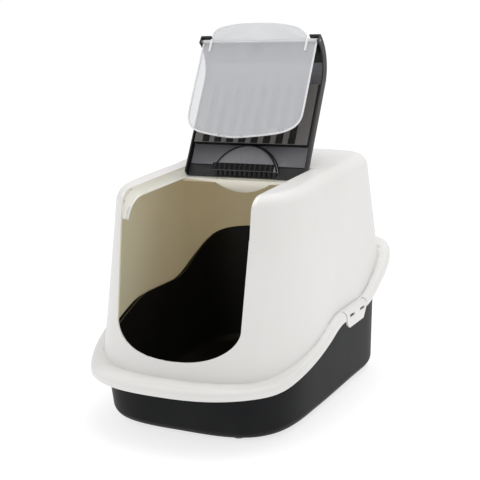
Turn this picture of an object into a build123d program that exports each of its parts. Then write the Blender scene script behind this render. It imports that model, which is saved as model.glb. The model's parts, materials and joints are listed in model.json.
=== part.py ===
"""Hooded cat litter box: tray, lift-off hood, hinged top lid with carbon filter, and a swing door.

Frame: +X right, -Y front, +Y back, +Z up, millimetres. The origin is on the floor, under the
middle of the hood's skirt. The lid is drawn open, leaning back on its stop, with the door
lying parallel to it, which is where every joint reads zero.
"""

import os
from math import cos, pi, radians, sin

from build123d import *

os.makedirs("parts", exist_ok=True)

# ---------------------------------------------------------------- driving dimensions
LENGTH = 560.0            # over the hood's skirt, front to back
WIDTH = 390.0             # over the hood's skirt, side to side
FRONT_ARC_Y = -50.0       # where the straight sides meet the round front
REAR_ARC_Y = 134.0        # where the straight sides meet the rear corners
FRONT_POWER = 2.6         # superellipse power of the hood's round front
TRAY_POWER = 3.5          # the tray's front is squarer than the hood's
REAR_POWER = 3.35

# the wavy edge on which hood and tray meet, as heights along the side
WAVE = [(-300, 85), (-202.4, 85), (-38, 145), (93.3, 145), (224.3, 209.9), (300, 214)]
WAVE_ROUND = 130.0
SKIRT_WALL = 2.6
FLANGE_HEIGHT = 14.0
FLANGE_ROUND = 9.0

HOOD_WALL = 2.8
HOOD_LOW, HOOD_HIGH = 60.0, 400.0      # heights between which the hood's draft is drawn
ROOF = [(-300, 359.1), (50, 375.6), (160, 384.7), (300, 383)]
ROOF_BEND = 250.0
ROOF_ROUND = 24.0

TRAY_WALL = 2.6
TRAY_FLOOR_Z = 4.0
TRAY_TOP = 260.0
TRAY_CORNER = 20.0
TRAY_UPSTAND = 18.0       # top of the tray's wall above the wavy edge
RIM_TOP, RIM_BOTTOM = 8.0, 5.6         # the tray's out-turned rim, above the wavy edge
RIM_INSET = 3.9
HOOD_CLEARANCE = 1.2      # between the tray's upstand and the hood's inside

FOOT_RADIUS = 11.0
FOOT_SPOTS = {
    "front_left": (-86, -183), "front_right": (86, -183),
    "rear_left": (-112, 196), "rear_right": (112, 196),
}

# the lid: s runs from the hinge to the front end, f from the outer face inwards
HINGE_Y, HINGE_Z = 36.0, 371.0
LID_OPEN = 61.0           # angle of s above the +Y axis with the lid open
LID_TRAVEL = 121.7        # turn about +X that shuts the lid
LID_HALF = 110.5
LID_OUTER = -4.0
LID_WALL = 2.6
LID_REAR = -13.0
LID_FLAT_END = 156.0
LID_NOSE_RADIUS = 66.0
LID_NOSE_ANGLE = 80.0
NOTCH_ANGLE = 65.0        # the nose wall ends here between the two ears
NOTCH_HALF = 91.0
LID_FLANGE = 14.0
FLANGE_CORNER = [(-13.1, 1), (-9, 10.1), (-13.1, 10.1)]      # cut off the flanges to clear the cross bar
PEG_RADIUS = 2.3
PEG_CLEARANCE = 0.08
PEG_END = 117.5
RECESS_HALF = 111.3
RECESS_REAR_Y = 51.5
LEDGE_DEPTH = 15.0
LEDGE_WALL = 2.4
LEDGE_HALF = 106.5
WEB_WALL = 4.5
LEDGE_NOSE_ANGLE = 66.0
BAR_DROP = 3.4            # the cross bar lies this much lower than the ledges
BAR_FRONT_Y = 19.0
BOSS_RADIUS = 6.5
BOSS_LENGTH = 7.0
SCOOP_HALF = 56.0
SCOOP_DEPTH = 20.0

FINGER_RADIUS = 62.0      # the round finger dish at the lid's rear edge
FINGER_CENTRE_S = -20.0
FINGER_DEPTH = 6.0
FINGER_REAR_S = -4.0
RIB_COUNT = 13
RIB_PITCH = 9.0
RIB_WALL = 2.0
STRIP_TOP_S = 7.0         # upper edge of the raised strip along the lid's rear edge

# the filter under the lid
FILTER_S0, FILTER_S1 = 44.0, 151.0
FILTER_HALF = 104.5
FILTER_FACE_F = 10.0
FILTER_WALL = 2.0
FILTER_REST = 0.4         # play of the carbon filter inside its cover
SLOT_COUNT = 8
SLOT_WIDTH = 13.0
SLOT_SHIFT = -3.2
SLOT_PITCH = 22.7
SLOT_MARGIN = 5.0

# the swing door, hung between the lid's ears
PIVOT_S, PIVOT_F = 212.0, 47.0
DOOR_HALF = 105.0
DOOR_LENGTH = 182.0
DOOR_WALL = 2.2
DOOR_BULGE = 22.0
DOOR_TOP_BULGE = 0.6
DOOR_CORNER = [(104.7, 127), (103.5, 138), (99.7, 148), (91.8, 157), (78, 166), (58, 172), (30, 178)]
TONGUE_LENGTH = 31.0
TONGUE_EDGE = [(87, 8), (84, 14), (76, 21), (60, 26), (36, 29.6)]
TONGUE_BEND = 45.0
DOOR_PIN_RADIUS = 3.0
DOOR_PIN_CLEARANCE = 0.08
DOOR_PIN_END = 110.2
LUG_X0, LUG_X1 = 85.0, 102.0
LUG = [(200, 24), (208.3, 24), (210.5, 27), (208, 45.4), (200, 45.4)]

# the entrance in the hood's front
ENTRANCE_HALF = 110.9
ENTRANCE_TOP = 305.0
ENTRANCE_LIP = 124.0
ENTRANCE_EDGE = [(107, 176), (105.3, 165), (98, 153), (83, 141), (47, 128)]

# the two snap tabs in the skirt
TAB_Y0, TAB_Y1 = -11.0, 79.0
TAB_BOTTOM = 131.0
TAB_EDGE_Z = 145.0        # height of the skirt's edge beside the tabs
TAB_INNER_X = 186.6
TAB_GAP = 0.5
TAB_SIDE_GAP = 1.3
TAB_BEND = 86.0           # how far the tab's top turns over towards the hood, in degrees
SLIT_TOP = 171.0
SLIT_WIDTH = 1.6
WINDOW_SPOTS = [(12.0, 149.5), (56.0, 149.0)]
WINDOW_SIZE = (20.0, 4.6)
CATCH_END_X = 192.05
CATCH_WIDTH = 15.0
CATCH_BOTTOM_Z, CATCH_TOP_Z = 148.0, 151.4


# ---------------------------------------------------------------- plan outlines
def power_arc(half, reach, power, count=11):
    """Points of half a superellipse, from its right end round to its left end."""
    angles = [pi * i / (count - 1) for i in range(count)]
    return [
        (half * (1 if cos(a) >= 0 else -1) * abs(cos(a)) ** (2 / power), reach * abs(sin(a)) ** (2 / power))
        for a in angles
    ]


def outline(side, front, rear, power=FRONT_POWER):
    """The plan outline, set in from the skirt's by the given distances."""
    half = WIDTH / 2 - side
    front_reach = LENGTH / 2 + FRONT_ARC_Y - front
    rear_reach = LENGTH / 2 - REAR_ARC_Y - rear
    front_points = [(x, FRONT_ARC_Y - y) for x, y in power_arc(half, front_reach, power)]
    rear_points = [(x, REAR_ARC_Y + y) for x, y in power_arc(half, rear_reach, REAR_POWER)]
    with BuildSketch() as plan:
        with BuildLine():
            Spline(*front_points, *reversed(rear_points), periodic=True)
        make_face()
    return plan.sketch


def both_sides(points, middle):
    """The points, then one in the middle at the given height, then the points mirrored in x."""
    return [*points, (0, middle), *[(-x, y) for x, y in reversed(points)]]


def prism(inset, low=0.0, high=300.0):
    """A straight block with the skirt's outline set in by one distance."""
    with BuildPart() as block:
        with BuildSketch(Plane.XY.offset(low)):
            add(outline(inset, inset, inset))
        extrude(amount=high - low)
    return block.part


def wave_slab(low, high):
    """The space between two copies of the wavy edge, raised by low and by high."""
    with BuildPart() as slab:
        with BuildSketch(Plane.YZ):
            with BuildLine():
                lower = FilletPolyline(*[(y, z + low) for y, z in WAVE], radius=WAVE_ROUND)
                upper = FilletPolyline(*[(y, z + high) for y, z in WAVE], radius=WAVE_ROUND)
                Line(lower @ 0, upper @ 0)
                Line(lower @ 1, upper @ 1)
            make_face()
        extrude(amount=WIDTH, both=True)
    return slab.part


# ---------------------------------------------------------------- hood and tray blanks
def hood_side(z):
    return 10.7 + 0.102 * (z - 130)


def hood_front(z):
    return 46.0 + 0.176 * (z - 130)


def hood_blank(inset):
    """The hood's body as a solid block, every face set in by one distance."""
    with BuildPart() as block:
        for z in (HOOD_LOW, HOOD_HIGH):
            with BuildSketch(Plane.XY.offset(z)):
                add(outline(hood_side(z) + inset, hood_front(z) + inset, hood_side(z) + inset))
        loft(ruled=True)
        with BuildSketch(Plane.YZ):
            with BuildLine():
                roof = FilletPolyline(*[(y, z - inset) for y, z in ROOF], radius=ROOF_BEND)
                Polyline(roof @ 1, (300, 450), (-300, 450), roof @ 0)
            make_face()
        extrude(amount=WIDTH, both=True, mode=Mode.SUBTRACT)
        top = block.faces().sort_by(Axis.Z)[-1]
        fillet(top.edges(), radius=ROOF_ROUND - inset)
    return block.part


def tray_side(z):
    return 32.6 - 0.037 * (z - 3)


def tray_front(z):
    return 61.0 - 0.16 * (z - 3)


def tray_blank(inset, floor_z):
    """The tray's body as a solid block with a rounded bottom edge."""
    with BuildPart() as block:
        for z in (floor_z, TRAY_TOP):
            with BuildSketch(Plane.XY.offset(z)):
                add(outline(tray_side(z) + inset, tray_front(z) + inset, tray_side(z) + inset, TRAY_POWER))
        loft(ruled=True)
        bottom = block.faces().sort_by(Axis.Z)[0]
        fillet(bottom.edges(), radius=TRAY_CORNER - inset)
    return block.part


# ---------------------------------------------------------------- lid coordinates
def lid_plane(x, angle=LID_OPEN):
    """A plane across the lid: local x is s, local y is f, for the lid at the given angle."""
    direction = (0, cos(radians(angle)), sin(radians(angle)))
    return Plane(origin=(x, HINGE_Y, HINGE_Z), x_dir=direction, z_dir=(1, 0, 0))


def nose_point(depth, angle):
    """A point on the lid's nose, depth below the outer face, at an angle round the nose arc."""
    radius = LID_NOSE_RADIUS - depth
    return (
        LID_FLAT_END + radius * sin(radians(angle)),
        LID_OUTER + LID_NOSE_RADIUS - radius * cos(radians(angle)),
    )


def lid_band(top, bottom, rear, nose_angle):
    """The strip of the lid's side profile between two depths below the outer face."""
    with BuildSketch() as strip:
        with BuildLine():
            upper = [(rear, LID_OUTER + top), (LID_FLAT_END, LID_OUTER + top)]
            lower = [(rear, LID_OUTER + bottom), (LID_FLAT_END, LID_OUTER + bottom)]
            Line(upper[0], upper[1])
            ThreePointArc(upper[1], nose_point(top, nose_angle / 2), nose_point(top, nose_angle))
            Line(nose_point(top, nose_angle), nose_point(bottom, nose_angle))
            ThreePointArc(nose_point(bottom, nose_angle), nose_point(bottom, nose_angle / 2), lower[1])
            Line(lower[1], lower[0])
            Line(lower[0], upper[0])
        make_face()
    return strip.sketch


SHUT = LID_OPEN + LID_TRAVEL


# ---------------------------------------------------------------- litter tray
with BuildPart() as litter_tray:
    blank = tray_blank(0, TRAY_FLOOR_Z)
    add(blank)
    add(wave_slab(RIM_TOP, 400), mode=Mode.SUBTRACT)
    add(prism(RIM_INSET) & wave_slab(RIM_BOTTOM, RIM_TOP))
    add(blank & wave_slab(RIM_BOTTOM, TRAY_UPSTAND) & hood_blank(HOOD_WALL + HOOD_CLEARANCE))
    add(tray_blank(TRAY_WALL, TRAY_FLOOR_Z + TRAY_WALL), mode=Mode.SUBTRACT)
    # catches on the rim, one behind each window of the snap tabs
    for side in (-1, 1):
        for catch_y, _ in WINDOW_SPOTS:
            with Locations((side * CATCH_END_X, catch_y, CATCH_BOTTOM_Z)):
                Box(
                    8, CATCH_WIDTH, CATCH_TOP_Z - CATCH_BOTTOM_Z,
                    align=(Align.MAX if side > 0 else Align.MIN, Align.CENTER, Align.MIN),
                )
litter_tray.part.label = "litter_tray"
export_step(litter_tray.part, "parts/litter_tray.step")

# ---------------------------------------------------------------- feet
for spot, (foot_x, foot_y) in FOOT_SPOTS.items():
    with BuildPart() as foot:
        with Locations((foot_x, foot_y, 0)):
            Cylinder(FOOT_RADIUS, TRAY_FLOOR_Z, align=(Align.CENTER, Align.CENTER, Align.MIN))
        fillet(foot.edges().group_by(Axis.Z)[0], radius=1.5)
    foot.part.label = f"foot_{spot}"
    export_step(foot.part, f"parts/foot_{spot}.step")


# ---------------------------------------------------------------- hood
def turn_point(centre, radius):
    """The end of the tab's rounded top at the given radius about the round's centre."""
    return (centre[0] + radius * cos(radians(TAB_BEND)), centre[1] + radius * sin(radians(TAB_BEND)))


def flange_block(inset, low, high, rounding):
    """The skirt's outer block between two heights above the wavy edge, its top edge rounded."""
    with BuildPart() as block:
        add(prism(inset) & wave_slab(low, high))
        roof_face = block.faces().sort_by(Axis.Z)[-1]
        fillet(roof_face.edges(), radius=rounding)
    return block.part


def lid_bearer(x_from, x_to, top, rear):
    """A strip under one side of the shut lid, following its curve from the rear to the nose."""
    with BuildPart() as strip:
        with BuildSketch(lid_plane(min(x_from, x_to), SHUT)):
            add(lid_band(top, LEDGE_DEPTH + LEDGE_WALL, rear, LEDGE_NOSE_ANGLE))
        extrude(amount=abs(x_to - x_from))
    return strip.part


def segment_block(radius, centre_z, cut_z, y_front, y_rear):
    """The part of a lying cylinder that is below cut_z."""
    with BuildPart() as block:
        with BuildSketch(Plane.XZ.offset(-y_rear)):
            with Locations((0, centre_z)):
                Circle(radius)
            with Locations((0, cut_z)):
                Rectangle(3 * radius, 3 * radius, align=(Align.CENTER, Align.MIN), mode=Mode.SUBTRACT)
        extrude(amount=y_rear - y_front)
    return block.part


BAR_TOP = HINGE_Z - LID_OUTER - LEDGE_DEPTH - BAR_DROP
SCOOP_RADIUS = (SCOOP_HALF**2 + SCOOP_DEPTH**2) / (2 * SCOOP_DEPTH)
SCOOP_CENTRE_Z = BAR_TOP - SCOOP_DEPTH + SCOOP_RADIUS
RECESS_BACK_Y = RECESS_REAR_Y + LEDGE_WALL

with BuildPart() as bearers:
    for side in (-1, 1):
        add(lid_bearer(side * RECESS_HALF, side * (RECESS_HALF + WEB_WALL), 0.5, HINGE_Y - RECESS_BACK_Y))
        add(lid_bearer(side * LEDGE_HALF, side * (RECESS_HALF + 1), LEDGE_DEPTH, HINGE_Y - BAR_FRONT_Y))
        with BuildSketch(Plane.YZ.offset(side * (RECESS_HALF + 1))):
            with Locations((HINGE_Y, HINGE_Z)):
                Circle(BOSS_RADIUS)
        extrude(amount=side * BOSS_LENGTH)
    # the cross bar and the back wall of the recess
    with BuildSketch(Plane.YZ.offset(-RECESS_HALF - 1)):
        with BuildLine():
            Polyline(
                (BAR_FRONT_Y, BAR_TOP), (BAR_FRONT_Y, BAR_TOP - 5), (BAR_FRONT_Y + LEDGE_WALL, BAR_TOP - 5),
                (BAR_FRONT_Y + LEDGE_WALL, BAR_TOP - LEDGE_WALL), (RECESS_BACK_Y, BAR_TOP - LEDGE_WALL),
                (RECESS_BACK_Y, HINGE_Z + 5), (RECESS_REAR_Y, HINGE_Z + 5), (RECESS_REAR_Y, BAR_TOP),
                close=True,
            )
        make_face()
    extrude(amount=2 * RECESS_HALF + 2)
    add(hood_blank(1.0), mode=Mode.INTERSECT)

with BuildPart() as hood:
    add(hood_blank(0) & wave_slab(FLANGE_HEIGHT - SKIRT_WALL, 400))
    add(flange_block(0, 0, FLANGE_HEIGHT, FLANGE_ROUND))
    add(
        flange_block(SKIRT_WALL, -10, FLANGE_HEIGHT - SKIRT_WALL, FLANGE_ROUND - SKIRT_WALL),
        mode=Mode.SUBTRACT,
    )
    add(hood_blank(HOOD_WALL), mode=Mode.SUBTRACT)
    # the opening for the lid, with the entrance below it
    with BuildSketch(Plane.XZ.offset(-RECESS_REAR_Y)):
        with Locations((0, ENTRANCE_TOP)):
            Rectangle(2 * RECESS_HALF, 200, align=(Align.CENTER, Align.MIN))
    extrude(amount=400, mode=Mode.SUBTRACT)
    with BuildSketch(Plane.XZ.offset(100)):
        with BuildLine():
            Polyline(
                (-ENTRANCE_EDGE[0][0], ENTRANCE_EDGE[0][1]), (-ENTRANCE_HALF, ENTRANCE_TOP + 1),
                (ENTRANCE_HALF, ENTRANCE_TOP + 1), ENTRANCE_EDGE[0],
            )
            Spline(*both_sides(ENTRANCE_EDGE, ENTRANCE_LIP))
        make_face()
    extrude(amount=300, mode=Mode.SUBTRACT)
    add(bearers.part)
    # the finger scoop in the cross bar, open to the front
    add(segment_block(SCOOP_RADIUS, SCOOP_CENTRE_Z, BAR_TOP, BAR_FRONT_Y, RECESS_BACK_Y))
    add(
        segment_block(
            SCOOP_RADIUS - LEDGE_WALL, SCOOP_CENTRE_Z, BAR_TOP + 1, BAR_FRONT_Y + LEDGE_WALL, RECESS_REAR_Y,
        ),
        mode=Mode.SUBTRACT,
    )
    for side in (-1, 1):
        # bore for the lid's peg
        with BuildSketch(Plane.YZ.offset(side * (RECESS_HALF - 1))):
            with Locations((HINGE_Y, HINGE_Z)):
                Circle(PEG_RADIUS + PEG_CLEARANCE)
        extrude(amount=side * (PEG_END - RECESS_HALF + 1.5), mode=Mode.SUBTRACT)
        # room for the snap tab, and a slit at each end of it
        room_x = TAB_INNER_X - TAB_GAP
        with Locations((side * (room_x + 10), (TAB_Y0 + TAB_Y1) / 2, SLIT_TOP - 30)):
            Box(20, TAB_Y1 - TAB_Y0, 60, mode=Mode.SUBTRACT)
        for slit_y in (TAB_Y0, TAB_Y1):
            with Locations((side * (room_x + 10), slit_y, SLIT_TOP - 20)):
                Box(24, SLIT_WIDTH, 40, mode=Mode.SUBTRACT)
hood.part.label = "hood"
export_step(hood.part, "parts/hood.step")

# ---------------------------------------------------------------- snap tabs
for side, name in ((-1, "left"), (1, "right")):
    with BuildPart() as snap_tab:
        outer_x = WIDTH / 2
        top_z = TAB_EDGE_Z + FLANGE_HEIGHT
        with BuildSketch(Plane.XZ.offset(-TAB_Y1 + TAB_SIDE_GAP)):
            with BuildLine():
                turn = (outer_x - FLANGE_ROUND, top_z - FLANGE_ROUND)
                inner_round = FLANGE_ROUND - SKIRT_WALL
                Polyline(
                    (outer_x, turn[1]), (outer_x, TAB_BOTTOM), (outer_x - SKIRT_WALL, TAB_BOTTOM),
                    (outer_x - SKIRT_WALL, turn[1]),
                )
                CenterArc(turn, inner_round, 0, TAB_BEND)
                Line(turn_point(turn, inner_round), turn_point(turn, FLANGE_ROUND))
                CenterArc(turn, FLANGE_ROUND, 0, TAB_BEND)
            make_face()
        extrude(amount=TAB_Y1 - TAB_Y0 - 2 * TAB_SIDE_GAP)
        with BuildSketch(Plane.YZ.offset(TAB_INNER_X - 2)):
            with BuildLine():
                Polyline(
                    (TAB_Y0, top_z + 1), (TAB_Y0, 147), (TAB_Y0 + 4, 137), (TAB_Y0 + 12, TAB_BOTTOM),
                    (TAB_Y1 - 18, TAB_BOTTOM), (TAB_Y1, 152), (TAB_Y1, top_z + 1), close=True,
                )
            make_face()
        extrude(amount=12, mode=Mode.INTERSECT)
        for window_y, window_z in WINDOW_SPOTS:
            with Locations((outer_x, window_y, window_z)):
                Box(8, WINDOW_SIZE[0], WINDOW_SIZE[1], mode=Mode.SUBTRACT)
        if side < 0:
            mirror(about=Plane.YZ, mode=Mode.REPLACE)
    snap_tab.part.label = f"snap_tab_{name}"
    export_step(snap_tab.part, f"parts/snap_tab_{name}.step")


# ---------------------------------------------------------------- lid
def lid_face(f, angle=LID_OPEN):
    """A plane parallel to the lid at depth f: local x is X, local y is s."""
    inward = (0, -sin(radians(angle)), cos(radians(angle)))
    origin = (0, HINGE_Y + f * inward[1], HINGE_Z + f * inward[2])
    return Plane(origin=origin, x_dir=(1, 0, 0), z_dir=inward)


def lid_section(s, angle=LID_OPEN):
    """A plane square to the lid's length at s: local x is X, local y is f."""
    along = (0, cos(radians(angle)), sin(radians(angle)))
    origin = (0, HINGE_Y + s * along[1], HINGE_Z + s * along[2])
    return Plane(origin=origin, x_dir=(1, 0, 0), z_dir=(0, -along[1], -along[2]))


def across(x_from, x_to, profile):
    """A side profile drawn in s and f, extruded across the lid from one x to the other."""
    with BuildPart() as block:
        with BuildSketch(lid_plane(min(x_from, x_to))):
            add(profile)
        extrude(amount=abs(x_to - x_from))
    return block.part


def profile_box(s0, f0, s1, f1):
    """A rectangle in the lid's side profile."""
    with BuildSketch() as face:
        with Locations(((s0 + s1) / 2, (f0 + f1) / 2)):
            Rectangle(s1 - s0, f1 - f0)
    return face.sketch


def polygon_profile(points):
    """A polygon in the lid's side profile."""
    with BuildSketch() as face:
        with BuildLine():
            Polyline(*points, close=True)
        make_face()
    return face.sketch


def face_box(x_half, s0, s1, f0, f1):
    """A box on the lid, centred across it."""
    return across(-x_half, x_half, profile_box(s0, f0, s1, f1))


INNER_FACE = LID_OUTER + LID_WALL


def finger_round(radius, f0, f1, s_low):
    """A round-fronted block about the finger dish's centre, cut off square at s_low."""
    with BuildPart() as block:
        with BuildSketch(lid_face(f0)):
            with Locations((0, FINGER_CENTRE_S)):
                Circle(radius)
            with Locations((0, s_low)):
                Rectangle(4 * radius, 4 * radius, align=(Align.CENTER, Align.MAX), mode=Mode.SUBTRACT)
        extrude(amount=f1 - f0)
    return block.part


with BuildPart() as lid:
    add(across(-LID_HALF, LID_HALF, lid_band(0, LID_WALL, LID_REAR, NOTCH_ANGLE)))
    for side in (-1, 1):
        edge, web = side * LID_HALF, side * (LID_HALF - LID_WALL)
        add(across(edge, side * NOTCH_HALF, lid_band(0, LID_WALL, LID_FLAT_END - 1, LID_NOSE_ANGLE)))
        add(across(edge, web, lid_band(0, LID_FLANGE, LID_REAR, LID_NOSE_ANGLE)))
        add(across(edge, web, polygon_profile(FLANGE_CORNER)), mode=Mode.SUBTRACT)
        # the lug that the back of the door lies on
        add(across(side * LUG_X0, side * LUG_X1, polygon_profile(LUG)))
        # hinge peg
        with BuildSketch(Plane.YZ.offset(web)):
            with Locations((HINGE_Y, HINGE_Z)):
                Circle(PEG_RADIUS)
        extrude(amount=side * (PEG_END - LID_HALF + LID_WALL))
    # bores for the door's pins
    with BuildSketch(lid_plane(-LID_HALF - 1)):
        with Locations((PIVOT_S, PIVOT_F)):
            Circle(DOOR_PIN_RADIUS + DOOR_PIN_CLEARANCE)
    extrude(amount=2 * LID_HALF + 2, mode=Mode.SUBTRACT)
    # raised strip along the rear edge, finger dish, and the ribs across its mouth
    add(face_box(LID_HALF - LID_WALL, LID_REAR, STRIP_TOP_S, INNER_FACE - 1, INNER_FACE + 2))
    dish_floor = INNER_FACE + FINGER_DEPTH
    add(finger_round(FINGER_RADIUS, LID_OUTER + 1, dish_floor + LID_WALL, FINGER_REAR_S))
    add(
        finger_round(FINGER_RADIUS - LID_WALL, LID_OUTER - 1, dish_floor, FINGER_REAR_S + LID_WALL),
        mode=Mode.SUBTRACT,
    )
    rib_top = dish_floor + LID_WALL
    rib_profile = polygon_profile([
        (LID_REAR + 1, INNER_FACE), (LID_REAR + 1, 5.5), (FINGER_REAR_S, rib_top),
        (FINGER_REAR_S + 1, rib_top), (FINGER_REAR_S + 1, INNER_FACE),
    ])
    for rib in range(RIB_COUNT):
        rib_x = (rib - (RIB_COUNT - 1) / 2) * RIB_PITCH
        add(across(rib_x - RIB_WALL / 2, rib_x + RIB_WALL / 2, rib_profile))
lid.part.label = "lid"
export_step(lid.part, "parts/lid.step")

# ---------------------------------------------------------------- filter cover and carbon filter
with BuildPart() as filter_cover:
    add(face_box(FILTER_HALF, FILTER_S0, FILTER_S1, INNER_FACE, FILTER_FACE_F))
    add(
        face_box(
            FILTER_HALF - FILTER_WALL, FILTER_S0 + FILTER_WALL, FILTER_S1 - FILTER_WALL,
            INNER_FACE - 1, FILTER_FACE_F - FILTER_WALL,
        ),
        mode=Mode.SUBTRACT,
    )
    with BuildSketch(lid_face(FILTER_FACE_F + 1)):
        with Locations((SLOT_SHIFT, (FILTER_S0 + FILTER_S1) / 2)):
            with GridLocations(SLOT_PITCH, 1, SLOT_COUNT, 1):
                SlotOverall(FILTER_S1 - FILTER_S0 - 2 * SLOT_MARGIN, SLOT_WIDTH, rotation=90)
    extrude(amount=-FILTER_WALL - 2, mode=Mode.SUBTRACT)
filter_cover.part.label = "filter_cover"
export_step(filter_cover.part, "parts/filter_cover.step")

with BuildPart() as carbon_filter:
    add(
        face_box(
            FILTER_HALF - FILTER_WALL - 1, FILTER_S0 + FILTER_WALL + 1, FILTER_S1 - FILTER_WALL - 1,
            INNER_FACE + FILTER_REST, FILTER_FACE_F - FILTER_WALL - FILTER_REST,
        )
    )
carbon_filter.part.label = "carbon_filter"
export_step(carbon_filter.part, "parts/carbon_filter.step")


# ---------------------------------------------------------------- swing door
def bowed_strip(bulge):
    """The door's cross-section: a thin strip bowed inwards by the given amount."""
    with BuildSketch() as strip:
        with BuildLine():
            low, high = PIVOT_F - DOOR_WALL / 2, PIVOT_F + DOOR_WALL / 2
            ThreePointArc((-DOOR_HALF, low), (0, low + bulge), (DOOR_HALF, low))
            Line((DOOR_HALF, low), (DOOR_HALF, high))
            ThreePointArc((DOOR_HALF, high), (0, high + bulge), (-DOOR_HALF, high))
            Line((-DOOR_HALF, high), (-DOOR_HALF, low))
        make_face()
    return strip.sketch


with BuildPart() as swing_door:
    for drop, bulge in ((0, DOOR_TOP_BULGE), (DOOR_LENGTH + 2, DOOR_BULGE)):
        with BuildSketch(lid_section(PIVOT_S - drop)):
            add(bowed_strip(bulge))
    loft(ruled=True)
    with BuildSketch(lid_face(0)):
        with BuildLine():
            foot_s = PIVOT_S - DOOR_LENGTH
            corner = [(x, PIVOT_S - drop) for x, drop in DOOR_CORNER]
            side_x, side_s = corner[0]
            Polyline((-side_x, side_s), (-side_x, PIVOT_S + 1), (side_x, PIVOT_S + 1), (side_x, side_s))
            Spline(*both_sides(corner, foot_s))
        make_face()
    extrude(amount=150, both=True, mode=Mode.INTERSECT)
    # the tongue above the pivot, bent towards the outside
    bend = LID_OPEN + TONGUE_BEND
    tongue_dir = (0, cos(radians(bend)), sin(radians(bend)))
    tongue_normal = (0, -tongue_dir[2], tongue_dir[1])
    pivot = lid_plane(0).from_local_coords((PIVOT_S, PIVOT_F, 0))
    with BuildSketch(Plane(origin=pivot, x_dir=(1, 0, 0), z_dir=tongue_normal)):
        with BuildLine():
            start_x, start_y = TONGUE_EDGE[0]
            Polyline((-start_x, start_y), (-start_x, 0), (start_x, 0), (start_x, start_y))
            Spline(*both_sides(TONGUE_EDGE, TONGUE_LENGTH))
        make_face()
    extrude(amount=1, both=True)
    # the hinge tube with its two pins
    with BuildSketch(lid_plane(-DOOR_PIN_END)):
        with Locations((PIVOT_S, PIVOT_F)):
            Circle(DOOR_PIN_RADIUS)
    extrude(amount=2 * DOOR_PIN_END)
swing_door.part.label = "swing_door"
export_step(swing_door.part, "parts/swing_door.step")
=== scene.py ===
"""Hooded cat litter box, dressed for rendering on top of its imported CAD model.

Every piece is built in metres in the CAD frame: +X right, -Y front, +Z up, origin on the floor.
The lid stands open with the swing door lying in front of it, as in the CAD model at rest.
"""

from __future__ import annotations

import json
import logging
import math
from dataclasses import dataclass
from enum import Enum
from typing import Any, Callable, Iterable, Sequence

import bpy
from mathutils import Matrix, Vector

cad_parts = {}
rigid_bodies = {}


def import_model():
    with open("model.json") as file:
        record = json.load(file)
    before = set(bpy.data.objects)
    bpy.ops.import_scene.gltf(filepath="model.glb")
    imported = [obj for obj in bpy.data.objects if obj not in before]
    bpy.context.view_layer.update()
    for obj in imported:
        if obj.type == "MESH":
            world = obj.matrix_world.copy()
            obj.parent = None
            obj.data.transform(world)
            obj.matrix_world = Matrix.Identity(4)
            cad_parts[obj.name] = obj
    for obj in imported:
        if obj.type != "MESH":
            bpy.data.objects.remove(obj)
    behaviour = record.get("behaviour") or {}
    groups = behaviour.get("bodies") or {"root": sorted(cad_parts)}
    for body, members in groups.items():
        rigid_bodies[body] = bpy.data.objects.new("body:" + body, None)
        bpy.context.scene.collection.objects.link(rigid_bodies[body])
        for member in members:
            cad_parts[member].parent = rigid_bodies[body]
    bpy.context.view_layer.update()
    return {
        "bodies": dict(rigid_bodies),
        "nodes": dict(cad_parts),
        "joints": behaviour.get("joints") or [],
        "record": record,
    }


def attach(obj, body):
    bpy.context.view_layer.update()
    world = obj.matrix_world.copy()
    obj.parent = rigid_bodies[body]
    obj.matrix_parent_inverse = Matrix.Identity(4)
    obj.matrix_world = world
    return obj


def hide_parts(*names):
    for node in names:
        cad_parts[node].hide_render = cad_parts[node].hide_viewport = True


log = logging.getLogger("litter_box")

Triple = tuple[float, float, float]
Colour = Triple
Box = tuple[Triple, Triple]


class Body(Enum):
    """The moving bodies of the litter box."""

    TRAY = "tray"
    HOOD = "hood"
    LEFT_TAB = "left_tab"
    RIGHT_TAB = "right_tab"
    LID = "lid"
    DOOR = "door"


class Slot(Enum):
    """The record's material slots."""

    TRAY = "tray_plastic"
    FOOT = "foot_rubber"
    HOOD = "hood_plastic"
    LID = "lid_plastic"
    DOOR = "door_plastic"
    FILTER = "filter_felt"


# ------------------------------------------------------------------------------------ shader maths
class Sock:
    """A shader socket that takes part in Python arithmetic by adding Math nodes."""

    def __init__(self, graph: Graph, socket: bpy.types.NodeSocket) -> None:
        """Keep the graph the socket belongs to.

        Args:
            graph: The graph new nodes are added to.
            socket: The wrapped output socket.
        """
        self.graph = graph
        self.socket = socket

    def _math(self, operation: str, first: Any, second: Any) -> Sock:
        """Add one Math node.

        Args:
            operation: The node's operation.
            first: Its first value or link.
            second: Its second value or link.

        Returns:
            The node's result.
        """
        return self.graph.node("ShaderNodeMath", {"operation": operation}, {0: first, 1: second})

    def __add__(self, other: Any) -> Sock:
        """Sum."""
        return self._math("ADD", self, other)

    def __radd__(self, other: Any) -> Sock:
        """Reflected sum."""
        return self._math("ADD", other, self)

    def __sub__(self, other: Any) -> Sock:
        """Difference."""
        return self._math("SUBTRACT", self, other)

    def __rsub__(self, other: Any) -> Sock:
        """Reflected difference."""
        return self._math("SUBTRACT", other, self)

    def __mul__(self, other: Any) -> Sock:
        """Product."""
        return self._math("MULTIPLY", self, other)

    def __rmul__(self, other: Any) -> Sock:
        """Reflected product."""
        return self._math("MULTIPLY", other, self)


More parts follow.
